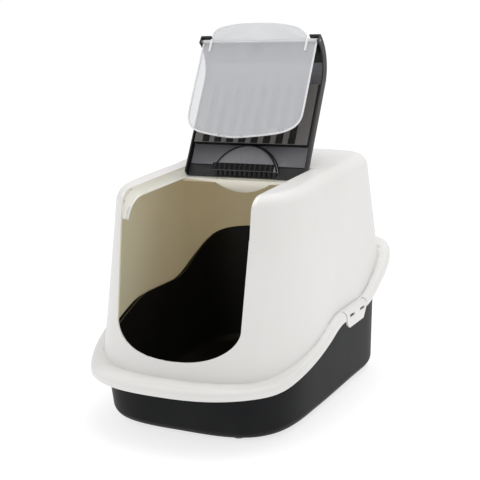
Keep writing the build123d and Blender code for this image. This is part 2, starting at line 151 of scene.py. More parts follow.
class Graph:
    """A node tree that nodes are added to."""

    def __init__(self, tree: bpy.types.NodeTree) -> None:
        """Keep the tree.

        Args:
            tree: The node tree of a material or a world.
        """
        self.tree = tree

    def add(self, kind: str, settings: dict[str, Any], inputs: dict[Any, Any]) -> bpy.types.Node:
        """Add one node.

        Args:
            kind: The node's type.
            settings: Its properties.
            inputs: Values or links for its sockets, by name or index.

        Returns:
            The node.
        """
        made = self.tree.nodes.new(kind)
        for key, value in settings.items():
            setattr(made, key, value)
        for key, value in inputs.items():
            self.feed(made.inputs[key], value)
        return made

    def node(
        self, kind: str, settings: dict[str, Any], inputs: dict[Any, Any], output: int | str = 0
    ) -> Sock:
        """Add one node and wrap one of its outputs.

        Args:
            kind: The node's type.
            settings: Its properties.
            inputs: Values or links for its sockets, by name or index.
            output: Which output is handed back.

        Returns:
            The chosen output.
        """
        return Sock(self, self.add(kind, settings, inputs).outputs[output])

    def feed(self, target: bpy.types.NodeSocket, value: Any) -> None:
        """Link a socket or set its value.

        Args:
            target: The socket that receives.
            value: A Sock, a number, a colour or a vector.
        """
        if isinstance(value, Sock):
            self.tree.links.new(value.socket, target)
        elif isinstance(value, tuple) and target.type == "RGBA" and len(value) == 3:
            target.default_value = (*value, 1.0)
        else:
            target.default_value = value


class Surface(Graph):
    """The node tree of one material, with its Principled shader and output."""

    def __init__(self, name: str) -> None:
        """Start an empty material.

        Args:
            name: The material's name.
        """
        self.material = bpy.data.materials.new(name)
        self.material.use_nodes = True
        super().__init__(self.material.node_tree)
        self.tree.nodes.clear()
        self.shader = self.add("ShaderNodeBsdfPrincipled", {}, {})
        self.add("ShaderNodeOutputMaterial", {}, {"Surface": Sock(self, self.shader.outputs["BSDF"])})

    def place(self) -> Sock:
        """The piece's own coordinates."""
        return self.node("ShaderNodeTexCoord", {}, {}, "Object")

    def noise(self, scale: float, detail: float = 3.0, stretch: Triple = (1.0, 1.0, 1.0)) -> Sock:
        """A noise over the piece.

        Args:
            scale: Features per metre.
            detail: Octaves.
            stretch: Scale along each axis.

        Returns:
            The noise between 0 and 1.
        """
        mapped = self.node("ShaderNodeMapping", {}, {"Vector": self.place(), "Scale": stretch})
        return self.node(
            "ShaderNodeTexNoise", {}, {"Vector": mapped, "Scale": scale, "Detail": detail, "Roughness": 0.55}
        )

    def along(self, axis: str) -> Sock:
        """One coordinate of the place in metres, such as "Z" for the height above the floor."""
        return self.node("ShaderNodeSeparateXYZ", {}, {0: self.place()}, axis)

    def ramp(self, value: Sock, low: float, high: float) -> Sock:
        """A value spread from 0 at low to 1 at high.

        Args:
            value: The value to spread.
            low: Where the result is 0.
            high: Where the result is 1.

        Returns:
            The clamped result.
        """
        return self.node(
            "ShaderNodeMapRange",
            {"clamp": True, "interpolation_type": "SMOOTHSTEP"},
            {"Value": value, "From Min": low, "From Max": high},
        )

    def mix(self, share: Any, first: Any, second: Any) -> Sock:
        """Blend two colours.

        Args:
            share: How much of the second shows.
            first: The first colour.
            second: The second colour.

        Returns:
            The blended colour.
        """
        return self.node("ShaderNodeMix", {"data_type": "RGBA"}, {0: share, 6: first, 7: second}, 2)

    def bump(self, height: Sock, strength: float, distance: float) -> Sock:
        """A bump normal.

        Args:
            height: The height map.
            strength: How strong the bump is.
            distance: The height of full white, in metres.

        Returns:
            The normal.
        """
        return self.node(
            "ShaderNodeBump", {}, {"Height": height, "Strength": strength, "Distance": distance}
        )

    def set(self, **sockets: Any) -> None:
        """Feed the Principled shader, with underscores for spaces in socket names."""
        for name, value in sockets.items():
            self.feed(self.shader.inputs[name.replace("_", " ")], value)


# ------------------------------------------------------------------------------------ finishes
# Features per metre of the noises that the finishes mix.
PATCHES, FLOW, GRAIN, SCUFFS = 7.0, 26.0, 1400.0, 90.0
CLOUD, FROST = 34.0, 1800.0
FIBRES, LUMPS, SPECKS = 900.0, 160.0, 2200.0
PORES, FLOOR_DUST = 1100.0, 300.0
FINE_RELIEF = 0.0004      # height of the moulded grain's bumps
DUST_COLOUR = (0.42, 0.40, 0.37)
DUST_TOP = 0.055          # height where the pale dust ends


@dataclass(frozen=True)
class MouldedPlastic:
    """Injection-moulded plastic: fine grain, faint flow marks, a little handling wear, and a painted glow
    where one is given.

    Attributes:
        name: The material's name.
        colour: The main colour.
        tint: The colour it drifts to in slow patches.
        roughness: The mean roughness.
        grain: Strength of the fine moulded grain.
        specular: The strength of the plain reflection.
        dust: How strongly pale dust gathers near the floor.
        painted_glow: A painted glow, emitted light that brightens faces lying in shade, at the rear of the
            box.
        painted_glow_front: The same at its front.
    """

    name: str
    colour: Colour
    tint: Colour
    roughness: float
    grain: float = 0.10
    specular: float = 0.5
    dust: float = 0.0
    painted_glow: Colour | None = None
    painted_glow_front: Colour | None = None

    def material(self) -> bpy.types.Material:
        """Build the node tree.

        Returns:
            The material.
        """
        graph = Surface(self.name)
        patches = graph.ramp(graph.noise(PATCHES, 2.0), 0.35, 0.70)
        flow = graph.noise(FLOW, 4.0, (1.0, 1.0, 0.25))
        grain = graph.noise(GRAIN, 2.0)
        scuffs = graph.ramp(graph.noise(SCUFFS, 6.0, (1.0, 0.2, 1.0)), 0.62, 0.80)
        colour = graph.mix(patches * 0.7 + flow * 0.3, self.colour, self.tint)
        if self.dust:
            low = 1.0 - graph.ramp(graph.along("Z"), 0.004, DUST_TOP)
            colour = graph.mix(low * graph.ramp(flow, 0.3, 0.7) * self.dust, colour, DUST_COLOUR)
        graph.set(
            Base_Color=colour,
            Roughness=self.roughness + (flow - 0.5) * 0.10 + scuffs * 0.06,
            Normal=graph.bump(grain * 0.75 + flow * 0.25, self.grain, FINE_RELIEF),
            Specular_IOR_Level=self.specular,
        )
        # Painted light: the glow is an emission, stronger towards the open front, that makes shaded faces
        # look lit.
        if self.painted_glow:
            forward = 1.0 - graph.ramp(graph.along("Y"), -0.20, 0.06)
            through = graph.mix(forward, self.painted_glow, self.painted_glow_front or self.painted_glow)
            graph.set(Emission_Color=graph.mix(flow * 0.15, through, self.painted_glow), Emission_Strength=1.0)
        return graph.material


@dataclass(frozen=True)
class FrostedPlastic:
    """Thin frosted plastic that shows what is behind it as through mist.

    Attributes:
        name: The material's name.
        colour: The mist's colour.
        cover: How much of what is behind one face hides.
    """

    name: str
    colour: Colour
    cover: float

    def material(self) -> bpy.types.Material:
        """Build the node tree.

        Returns:
            The material.
        """
        graph = Surface(self.name)
        cloud = graph.noise(CLOUD, 3.0)
        frost = graph.noise(FROST, 2.0)
        graph.set(
            Base_Color=graph.mix(cloud, self.colour, tuple(0.96 * c for c in self.colour)),
            Alpha=self.cover + (cloud - 0.5) * 0.05 + (frost - 0.5) * 0.03,
            Roughness=0.34 + (cloud - 0.5) * 0.12,
            Normal=graph.bump(frost * 0.6 + cloud * 0.4, 0.12, FINE_RELIEF),
        )
        return graph.material


@dataclass(frozen=True)
class Felt:
    """Loose black felt filled with carbon."""

    name: str
    colour: Colour

    def material(self) -> bpy.types.Material:
        """Build the node tree.

        Returns:
            The material.
        """
        graph = Surface(self.name)
        fibres = graph.noise(FIBRES, 5.0, (1.0, 0.3, 1.0))
        lumps = graph.noise(LUMPS, 3.0)
        specks = graph.ramp(graph.noise(SPECKS, 1.0), 0.66, 0.74)
        colour = graph.mix(fibres, self.colour, tuple(2.2 * c for c in self.colour))
        graph.set(
            Base_Color=graph.mix(specks * 0.5, colour, (0.06, 0.06, 0.065)),
            Roughness=0.95 - specks * 0.3,
            Normal=graph.bump(fibres * 0.5 + lumps * 0.5, 0.6, 0.0012),
        )
        return graph.material


@dataclass(frozen=True)
class Rubber:
    """Soft dull rubber, dusty where it meets the floor."""

    name: str
    colour: Colour

    def material(self) -> bpy.types.Material:
        """Build the node tree.

        Returns:
            The material.
        """
        graph = Surface(self.name)
        pores = graph.noise(PORES, 3.0)
        dust = (1.0 - graph.ramp(graph.along("Z"), 0.0, 0.003)) * graph.noise(FLOOR_DUST, 4.0)
        graph.set(
            Base_Color=graph.mix(dust, self.colour, (0.16, 0.15, 0.14)),
            Roughness=0.75 + (pores - 0.5) * 0.2,
            Normal=graph.bump(pores, 0.35, 0.0005),
        )
        return graph.material


HOOD_OUTSIDE = MouldedPlastic(
    "Warm white hood", (0.80, 0.79, 0.775), (0.765, 0.755, 0.735), roughness=0.42, grain=0.06
)
# The hood is white throughout. Its inside is that white painted darker and warmer as shade, with a painted
# glow for the light bouncing in.
HOOD_INSIDE_SHADE_AND_GLOW = MouldedPlastic(
    "Hood inside in painted shade and glow", (0.55, 0.51, 0.42), (0.50, 0.46, 0.37), roughness=0.6, grain=0.06,
    painted_glow=(0.135, 0.108, 0.060), painted_glow_front=(0.23, 0.225, 0.155),
)
# The ledges are the hood's white painted warmer, with a painted glow where they lie in the lid's shade.
HOOD_LEDGE_GLOW = MouldedPlastic(
    "Ledges in painted glow", (0.82, 0.80, 0.73), (0.78, 0.76, 0.69), roughness=0.5, grain=0.06,
    painted_glow=(0.12, 0.125, 0.115),
)
# The scoop is the hood's white with a painted glow: painted light in the deep shade behind the opening.
HOOD_SCOOP_GLOW = MouldedPlastic(
    "Finger scoop", (0.75, 0.72, 0.66), (0.70, 0.67, 0.61), roughness=0.5, grain=0.06,
    painted_glow=(0.20, 0.195, 0.165),
)
TRAY_OUTSIDE = MouldedPlastic(
    "Charcoal tray", (0.012, 0.0125, 0.0135), (0.016, 0.0165, 0.0175), roughness=0.42, grain=0.08,
    specular=0.06, dust=0.01,
)
# The tray's inside is its charcoal painted near black: painted shade under the hood.
TRAY_INSIDE_SHADE = MouldedPlastic(
    "Tray inside in painted shade", (0.007, 0.007, 0.008), (0.011, 0.011, 0.012), roughness=0.5, specular=0.3
)
# A brownish painted highlight along the upstand's lit top edge.
TRAY_EDGE_HIGHLIGHT = MouldedPlastic(
    "Painted highlight on the tray's edge", (0.060, 0.051, 0.038), (0.045, 0.039, 0.030), roughness=0.5, specular=0.3
)
LID_FACE = MouldedPlastic("Dark grey lid", (0.240, 0.236, 0.254), (0.215, 0.211, 0.226), roughness=0.5)
# The lid's grey painted much darker: painted shade on its edges, its ears and the upper nose.
LID_EDGE_SHADE = MouldedPlastic(
    "Lid edges in painted shade", (0.045, 0.044, 0.045), (0.036, 0.035, 0.036), roughness=0.5, specular=0.3
)
LID_STRIP = MouldedPlastic(
    "Rear strip of the lid", (0.030, 0.030, 0.031), (0.038, 0.038, 0.039), roughness=0.5, specular=0.3
)
# Near-black painted shade for recesses, gaps and faces turned from the light.
LID_SHADE = MouldedPlastic(
    "Painted shade in lid recesses", (0.006, 0.006, 0.007), (0.010, 0.010, 0.010), roughness=0.6, specular=0.2
)
LID_PLATE = MouldedPlastic(
    "Warm grey filter frame", (0.132, 0.125, 0.121), (0.116, 0.109, 0.105), roughness=0.5
)
FILTER_FELT = Felt("Carbon felt", (0.006, 0.006, 0.006))
FOOT_RUBBER = Rubber("Foot rubber", (0.02, 0.02, 0.02))
DOOR_SHEET = FrostedPlastic("Frosted door", (0.82, 0.83, 0.86), cover=0.43)
DOOR_RIM = FrostedPlastic("Bright door edge", (0.93, 0.94, 0.95), cover=0.86)
DOOR_CLIP = FrostedPlastic("White door clips", (0.93, 0.94, 0.95), cover=0.90)


# ------------------------------------------------------------------------------------ mesh tools
WELD = 0.00001            # corners closer than this become one
BEVEL_STEPS = 3
BEVEL_ANGLE = 35.0        # edges sharper than this are rounded


def deselect() -> None:
    """Leave edit mode and deselect everything."""
    if bpy.context.object and bpy.context.object.mode != "OBJECT":
        bpy.ops.object.mode_set(mode="OBJECT")
    bpy.ops.object.select_all(action="DESELECT")


def activate(piece: bpy.types.Object) -> None:
    """Select one piece alone and make it active.

    Args:
        piece: The piece to work on.
    """
    deselect()
    piece.select_set(True)
    bpy.context.view_layer.objects.active = piece


def bake_place(piece: bpy.types.Object) -> None:
    """Move a piece's place, turn and scale into its mesh."""
    activate(piece)
    bpy.ops.object.transform_apply(location=True, rotation=True, scale=True)


def apply_modifiers(piece: bpy.types.Object) -> None:
    """Apply every modifier of a piece.

    Args:
        piece: The piece.
    """
    activate(piece)
    for modifier in list(piece.modifiers):
        bpy.ops.object.modifier_apply(modifier=modifier.name)


def smooth(piece: bpy.types.Object, angle: float = 32.0) -> None:
    """Shade a piece smooth, with edges sharper than the angle kept crisp.

    Args:
        piece: The piece.
        angle: The angle in degrees.
    """
    activate(piece)
    bpy.ops.object.shade_smooth_by_angle(angle=math.radians(angle))


def soften(piece: bpy.types.Object, width: float) -> None:
    """Round a piece's sharp edges.

    Args:
        piece: The piece.
        width: The width of the rounding in metres.
    """
    bevel = piece.modifiers.new("Soft edges", "BEVEL")
    bevel.width = width
    bevel.segments = BEVEL_STEPS
    bevel.limit_method = "ANGLE"
    bevel.angle_limit = math.radians(BEVEL_ANGLE)
    apply_modifiers(piece)


def carry_over(node: str, name: str) -> bpy.types.Object:
    """A merged, smooth-shaded copy of a CAD node.

    Args:
        node: The CAD node.
        name: The copy's name.

    Returns:
        The copy, not yet riding on a body.
    """
    source = bpy.data.objects[FRAME_NODES[node]]
    piece = source.copy()
    piece.data = source.data.copy()
    for key in [k for k in piece.keys() if k.startswith("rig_")]:
        del piece[key]
    piece.name = name
    piece.data.name = name
    piece.parent = None
    piece.matrix_world = Matrix.Identity(4)
    bpy.context.scene.collection.objects.link(piece)
    activate(piece)
    bpy.ops.object.mode_set(mode="EDIT")
    bpy.ops.mesh.select_all(action="SELECT")
    bpy.ops.mesh.remove_doubles(threshold=WELD)
    bpy.ops.object.mode_set(mode="OBJECT")
    piece.data.materials.clear()
    smooth(piece)
    return piece


def dress(piece: bpy.types.Object, finish: Any, slot: Slot, body: Body, *nodes: str) -> None:
    """Give a piece its finish and the body it rides on, and hide the nodes it stands for.

    Args:
        piece: The finished mesh.
        finish: Its main finish.
        slot: The record's slot; not used.
        body: The body it moves with.
        nodes: The CAD nodes it replaces.
    """
    if not piece.data.materials:
        piece.data.materials.append(material_of(finish))
    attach(piece, body.value)
    if nodes:
        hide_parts(*nodes)
    log.info("%s rides on %s", piece.name, body.value)


MATERIALS: dict[str, bpy.types.Material] = {}
FRAME_NODES: dict[str, str] = {}


def material_of(finish: Any) -> bpy.types.Material:
    """The material of a finish, built once.

    Args:
        finish: The finish.

    Returns:
        Its material.
    """
    if finish.name not in MATERIALS:
        MATERIALS[finish.name] = finish.material()
    return MATERIALS[finish.name]


def paint(piece: bpy.types.Object, finish: Any, wanted: Callable[[Vector, Vector], bool]) -> None:
    """Give the faces that a test picks another finish.

    Args:
        piece: The piece.
        finish: The other finish.
        wanted: Takes a face's centre and normal and tells whether it is painted.
    """
    piece.data.materials.append(material_of(finish))
    index = len(piece.data.materials) - 1
    for face in piece.data.polygons:
        if wanted(face.center, face.normal):
            face.material_index = index


def rounded_box(
    name: str, low: Sequence[float], high: Sequence[float], rounding: float, frame: Matrix
) -> bpy.types.Object:
    """A box with rounded edges, given in another part's coordinates.

    Args:
        name: The piece's name.
        low: Its lowest corner.
        high: Its highest corner.
        rounding: The rounding of its edges.
        frame: Turns the box's coordinates into the row frame.

    Returns:
        The piece, with its place in its mesh.
    """
    deselect()
    bpy.ops.mesh.primitive_cube_add(size=1.0, location=(0, 0, 0))
    piece = bpy.context.object
    piece.name = name
    piece.data.name = name
    piece.scale = [b - a for a, b in zip(low, high)]
    piece.location = [(a + b) / 2 for a, b in zip(low, high)]
    bake_place(piece)
    soften(piece, rounding)
    piece.data.transform(frame)
    bpy.ops.object.mode_set(mode="EDIT")
    bpy.ops.mesh.select_all(action="SELECT")
    bpy.ops.mesh.normals_make_consistent(inside=False)
    bpy.ops.object.mode_set(mode="OBJECT")
    smooth(piece)
    return piece


def tube(name: str, points: Iterable[Vector], radius: float) -> bpy.types.Object:
    """A round bead along a smooth line.

    Args:
        name: The piece's name.
        points: The line's points.
        radius: The bead's radius.

    Returns:
        The bead as a mesh.
    """
    deselect()
    curve = bpy.data.curves.new(name, "CURVE")
    curve.dimensions = "3D"
    curve.bevel_depth = radius
    curve.bevel_resolution = 3
    curve.use_fill_caps = True
    spline = curve.splines.new("NURBS")
    places = list(points)
    spline.points.add(len(places) - 1)
    for point, place in zip(spline.points, places):
        point.co = (*place, 1.0)
    spline.order_u = 3
    spline.use_endpoint_u = True
    spline.resolution_u = 4
    piece = bpy.data.objects.new(name, curve)
    bpy.context.scene.collection.objects.link(piece)
    activate(piece)
    bpy.ops.object.convert(target="MESH")
    piece = bpy.context.object
    piece.data.name = name
    bpy.ops.object.mode_set(mode="EDIT")
    bpy.ops.mesh.select_all(action="SELECT")
    bpy.ops.mesh.remove_doubles(threshold=WELD)
    bpy.ops.mesh.normals_make_consistent(inside=False)
    bpy.ops.object.mode_set(mode="OBJECT")
    smooth(piece, 50.0)
    return piece


def join(name: str, pieces: Sequence[bpy.types.Object]) -> bpy.types.Object:
    """Join pieces into one.

    Args:
        name: The joined piece's name.
        pieces: The pieces.

    Returns:
        The joined piece.
    """
    deselect()
    for piece in pieces:
        piece.select_set(True)
    bpy.context.view_layer.objects.active = pieces[0]
    bpy.ops.object.join()
    joined = bpy.context.object
    joined.name = name
    joined.data.name = name
    return joined


# ------------------------------------------------------------------------------------ moulded shells
@dataclass(frozen=True)
class ShellForm:
    """The drafted wall of a moulded shell: straight sides, a round front and round rear corners.

    Attributes:
        side: Inset of the sides from the skirt at the datum height, in metres.
        side_draft: Growth of that inset per metre of height.
        front: Inset of the front at the datum height.
        front_draft: Growth of that inset per metre of height.
        datum: The datum height.
        power: Power of the front's superellipse.
        wall: The wall's thickness.
        half_width: Half the skirt's width.
        half_length: Half the skirt's length.
        front_arc: The y where the straight sides meet the round front.
        rear_arc: The y where they meet the rear corners.
        rear_power: Power of the rear corners' superellipse.
    """

    side: float
    side_draft: float
    front: float
    front_draft: float
    datum: float
    power: float
    wall: float
    half_width: float = 0.195
    half_length: float = 0.280
    front_arc: float = -0.050
    rear_arc: float = 0.134
    rear_power: float = 3.35

    def outward(self, place: Vector, inset: float) -> tuple[Vector, float]:
        """The wall's outward normal at a place, and the place's distance from the wall.

        Args:
            place: A point near the wall.
            inset: 0 for the outer face, the wall's thickness for the inner one.

        Returns:
            The unit normal and the distance.
        """
        rise = place.z - self.datum
        half = self.half_width - self.side - self.side_draft * rise - inset
        if place.y < self.front_arc:
            reach = self.half_length + self.front_arc - self.front - self.front_draft * rise - inset
            ahead, power, draft = place.y - self.front_arc, self.power, self.front_draft
        else:
            reach = self.half_length - self.rear_arc - self.side - self.side_draft * rise - inset
            ahead, power, draft = max(place.y - self.rear_arc, 0.0), self.rear_power, self.side_draft
        across, along = abs(place.x) / half, abs(ahead) / reach
        level = across**power + along**power
        slope = Vector(
            (
                math.copysign(power * across ** (power - 1) / half, place.x),
                math.copysign(power * along ** (power - 1) / reach, ahead),
                power * (across**power * self.side_draft / half + along**power * draft / reach),
            )
        )
        size = max(slope.length, 1e-6)
        return slope / size, (level - 1.0) / size


NEAR_WALL = 0.0012        # greatest distance of a wall's face from its exact form
ALONG_WALL = 0.97         # least agreement of their normals
WEIGHT_BY_AREA = 90       # how much large faces lead the shading
HOOD_FORM = ShellForm(
    side=0.0107, side_draft=0.102, front=0.046, front_draft=0.176, datum=0.130, power=2.6, wall=0.0028
)
SKIRT_FORM = ShellForm(
    side=0.0, side_draft=0.0, front=0.0, front_draft=0.0, datum=0.0, power=2.6, wall=0.0026
)
TRAY_FORM = ShellForm(
    side=0.0326, side_draft=-0.037, front=0.061, front_draft=-0.16, datum=0.003, power=3.5, wall=0.0026
)


def true_normals(piece: bpy.types.Object, forms: Sequence[ShellForm]) -> None:
    """Shade a shell's walls by their exact form, so that long triangles leave no creases.

    Args:
        piece: The shell.
        forms: The walls it has.
    """
    weighted = piece.modifiers.new("Even shading", "WEIGHTED_NORMAL")
    weighted.weight = WEIGHT_BY_AREA
    weighted.keep_sharp = True
    apply_modifiers(piece)
    mesh = piece.data
    normals = [Vector(corner.vector) for corner in mesh.corner_normals]
    for face in mesh.polygons:
        for form in forms:
            for inset in (0.0, form.wall):
                normal, distance = form.outward(face.center, inset)
                facing = normal.dot(face.normal)
                if abs(distance) > NEAR_WALL or abs(facing) < ALONG_WALL:
                    continue
                for corner in face.loop_indices:
                    place = mesh.vertices[mesh.loops[corner].vertex_index].co
                    normals[corner] = form.outward(place, inset)[0] * math.copysign(1.0, facing)
    mesh.normals_split_custom_set(normals)


# ------------------------------------------------------------------------------------ lid frame
@dataclass(frozen=True)
class LidFrame:
    """Coordinates on the open lid: x across, s from the hinge to the nose, f from outside to inside.

    Attributes:
        hinge: The hinge axis at the middle of the box, in metres.
        lean: The open lid's angle above the +Y axis, in degrees.
    """

    hinge: Triple = (0.0, 0.036, 0.371)
    lean: float = 61.0

    def matrix(self) -> Matrix:
        """The lid's place.

        Returns:
            The matrix that turns (x, s, f) in metres into the row frame.
        """
        c, s = math.cos(math.radians(self.lean)), math.sin(math.radians(self.lean))
        return Matrix(
            (
                (1.0, 0.0, 0.0, self.hinge[0]),
                (0.0, c, -s, self.hinge[1]),
                (0.0, s, c, self.hinge[2]),
                (0.0, 0.0, 0.0, 1.0),
            )
        )

    def point(self, x: float, s: float, f: float) -> Vector:
        """One point of the lid, in the row frame.

        Args:
            x: Across the lid.
            s: Along the lid from the hinge.
            f: Inwards.

        Returns:
            The point.
        """
        return self.matrix() @ Vector((x, s, f))

    def local(self, place: Vector) -> Vector:
        """A place in the row frame as (x, s, f)."""
        return self.matrix().inverted() @ place


LID = LidFrame()


# ------------------------------------------------------------------------------------ sub-assemblies
ASPECT = 0.7              # width over length, for telling inside from outside
FLAT = 0.6                # least share of a normal along the axis that a face looks along
SIDEWAYS = 0.9            # the same for a face that looks straight to the side


def between(place: Vector, low: Sequence[float], high: Sequence[float]) -> bool:
    """Whether a place lies in a box.

    Args:
        place: The place.
        low: The box's lowest corner.
        high: Its highest corner.

    Returns:
        True inside the box.
    """
    return all(a < value < b for a, value, b in zip(low, place, high))


@dataclass
class Tray:
    """The litter tray and its four feet.

    Attributes:
        inside_share: How far a face's normal must point to the middle to count as inside.
        middle: The basin's middle.
        floor_zone: Height below which upward faces belong to the floor.
        rise: How far above the wavy edge only the upstand's top lies.
        top_share: How far a face's normal must point up to count as that top.
        wave: The wavy edge on which the hood sits, as y and z.
    """

    inside_share: float = 0.1
    middle: tuple[float, float] = (0.0, -0.01)
    floor_zone: float = 0.06
    rise: float = 0.0135
    top_share: float = 0.5
    wave: tuple[tuple[float, float], ...] = (
        (-0.3000, 0.085), (-0.2024, 0.085), (-0.0380, 0.145), (0.0933, 0.145), (0.2243, 0.2099), (0.3, 0.214),
    )

    def is_shaded_inside(self, centre: Vector, normal: Vector) -> bool:
        """Whether a face belongs to the tray's inside.

        Args:
            centre: The face\'s middle.
            normal: Its normal.

        Returns:
            True if it does.
        """
        outward = Vector((centre.x - self.middle[0], (centre.y - self.middle[1]) * ASPECT, 0.0))
        if normal.z > FLAT and centre.z < self.floor_zone:
            return True
        return outward.normalized().dot(normal) < -self.inside_share

    def is_edge(self, centre: Vector, normal: Vector) -> bool:
        """Whether a face belongs to the top edge of the upstand inside the hood, which gets a painted
        highlight.

        Args:
            centre: The face\'s middle.
            normal: Its normal.

        Returns:
            True if it does.
        """
        for (y0, z0), (y1, z1) in zip(self.wave, self.wave[1:]):
            if y0 <= centre.y <= y1:
                edge = z0 + (z1 - z0) * (centre.y - y0) / (y1 - y0)
                return normal.z > self.top_share and centre.z > edge + self.rise
        return False

    def build(self) -> None:
        """Make the tray and the feet."""
        tray = carry_over("litter_tray", "Tray_basin")
        true_normals(tray, (TRAY_FORM, HOOD_FORM))
        tray.data.materials.append(material_of(TRAY_OUTSIDE))
        # Painted shade on the tray's inside.
        paint(tray, TRAY_INSIDE_SHADE, self.is_shaded_inside)
        # Painted highlight along the upstand's top edge.
        paint(tray, TRAY_EDGE_HIGHLIGHT, self.is_edge)
        dress(tray, TRAY_OUTSIDE, Slot.TRAY, Body.TRAY, "litter_tray")
        for spot in ("front_left", "front_right", "rear_left", "rear_right"):
            foot = carry_over(f"foot_{spot}", f"Foot_{spot}")
            dress(foot, FOOT_RUBBER, Slot.FOOT, Body.TRAY, f"foot_{spot}")


@dataclass
class Hood:
    """The hood with its two snap tabs.

    Attributes:
        middle_y: The y of the hood's middle.
        inside_share: How far a face's normal must point to the middle to count as inside.
        shoulder_share: How far a low face must point up to count as the flange's top.
        wall_face: Faces this close to the outer wall are not inside.
        roof: Height of the roof's front part at y = 0, and its slope.
        skin: Faces this close to the outer wall or roof are outside.
        skin_round: The same on the roof's rounding.
        roof_round: Rounding of the roof's edge.
        bend_y: Where that rounding starts at the front, beside the lid's opening.
        roof_zone: Height above which flat faces belong to the roof.
        opening_rear: The y behind the lid's opening.
        opening_half: Half the width of the opening and its ledges.
        front_share: How far a face may look forward and still belong to a bearer.
        ledge: The ledge and web beside the opening, as the corners of a box at +X.
        bar: The right half of the cross bar behind it.
        scoop: The right half of the finger scoop.
    """

    middle_y: float = -0.02
    inside_share: float = 0.15
    shoulder_share: float = 0.25
    wall_face: float = 0.0005
    roof: tuple[float, float] = (0.37323, 0.0471)
    skin: float = 0.0015
    skin_round: float = 0.0018
    roof_round: float = 0.024
    bend_y: float = -0.149
    roof_zone: float = 0.30
    opening_rear: float = 0.06
    opening_half: float = 0.118
    front_share: float = 0.7
    ledge: Box = ((0.1055, -0.5, 0.312), (0.1165, 0.06, 0.5))
    bar: Box = ((-0.001, 0.0185, 0.33), (0.1135, 0.0545, 0.374))
    scoop: Box = ((-0.001, 0.0185, 0.333), (0.058, 0.0545, 0.3563))

    def is_shaded_inside(self, centre: Vector, normal: Vector) -> bool:
        """Whether a face belongs to the hood's inner wall.

        Args:
            centre: The face\'s middle.
            normal: Its normal.

        Returns:
            True if it does.
        """
        outward = Vector((centre.x, (centre.y - self.middle_y) * ASPECT, 0.0)).normalized()
        if centre.z > self.roof_zone and abs(normal.z) > FLAT:
            return normal.z < 0 and (centre.y > self.opening_rear or abs(centre.x) > self.opening_half)
        if centre.z < self.roof_zone and normal.z > self.shoulder_share or self.is_bearer(centre, normal):
            return False
        behind = HOOD_FORM.outward(centre, 0.0)[1] < -self.wall_face
        return behind and outward.dot(normal) < -self.inside_share

    def is_outside(self, centre: Vector) -> bool:
        """Whether a place beside the lid's opening lies on the hood's outer face.

        Args:
            centre: The place.

        Returns:
            True outside.
        """
        roof = self.roof[0] + centre.y * self.roof[1]
        ahead, rise = self.bend_y - centre.y, centre.z - roof + self.roof_round
        if ahead > 0 and rise > 0:
            return math.hypot(ahead, rise) > self.roof_round - self.skin_round
        return centre.z > roof - self.skin or HOOD_FORM.outward(centre, 0.0)[1] > -self.skin

    def is_bearer(self, centre: Vector, normal: Vector) -> bool:
        """Whether a face belongs to the ledges, webs or cross bar.

        Args:
            centre: The face\'s middle.
            normal: Its normal.

        Returns:
            True if it does.
        """
        if self.is_outside(centre) or normal.y < -self.front_share:
            return False
        mirrored = Vector((abs(centre.x), centre.y, centre.z))
        return between(mirrored, *self.ledge) or between(mirrored, *self.bar)

    def is_scoop(self, centre: Vector, normal: Vector) -> bool:
        """Whether a face belongs to the finger scoop.

        Args:
            centre: The face\'s middle.
            normal: Its normal.

        Returns:
            True if it does.
        """
        return between(Vector((abs(centre.x), centre.y, centre.z)), *self.scoop)

    def build(self) -> None:
        """Make the hood and the tabs."""
        hood = carry_over("hood", "Hood_shell")
        true_normals(hood, (HOOD_FORM, SKIRT_FORM))
        hood.data.materials.append(material_of(HOOD_OUTSIDE))
        # Painted shade and painted glow on the hood's inside.
        paint(hood, HOOD_INSIDE_SHADE_AND_GLOW, self.is_shaded_inside)
        # Painted warmth and glow on the ledges and bearers in the shade.
        paint(hood, HOOD_LEDGE_GLOW, self.is_bearer)
        # Painted glow on the finger scoop.
        paint(hood, HOOD_SCOOP_GLOW, self.is_scoop)
        dress(hood, HOOD_OUTSIDE, Slot.HOOD, Body.HOOD, "hood")
        for side, body in (("left", Body.LEFT_TAB), ("right", Body.RIGHT_TAB)):
            tab = carry_over(f"snap_tab_{side}", f"Snap_tab_{side}")
            dress(tab, HOOD_OUTSIDE, Slot.HOOD, body, f"snap_tab_{side}")


